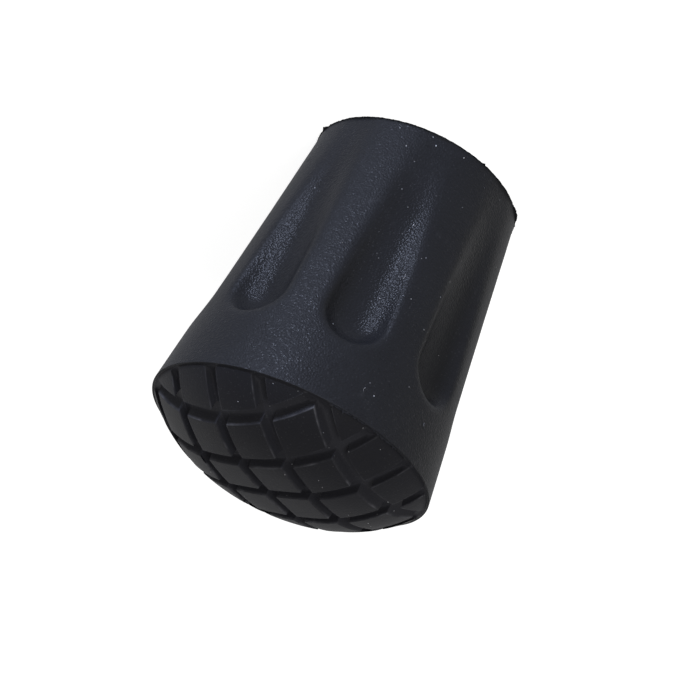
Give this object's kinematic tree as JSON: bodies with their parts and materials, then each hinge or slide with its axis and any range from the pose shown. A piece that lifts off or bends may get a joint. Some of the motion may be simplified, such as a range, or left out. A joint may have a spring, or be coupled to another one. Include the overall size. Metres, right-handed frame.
{
  "type": "rubber cane tip",
  "caption": "Tapered push-on rubber foot for a cane or walking pole, with round-ended flutes down its sides and a domed sole cut into square lugs.",
  "frame": {"origin": "centre of the open mouth, in the plane of its rim, on which the tip stands", "axes": "+Z along the socket's axis, from the mouth up to the sole; X and Y along the grooves of the sole"},
  "size_m": [0.038, 0.038, 0.0486],
  "materials": {
    "rubber": "satin moulded black rubber, finely grained, grainier in the flutes"
  },
  "bodies": {
    "root": {"cane_tip": "rubber"}
  },
  "joints": []
}
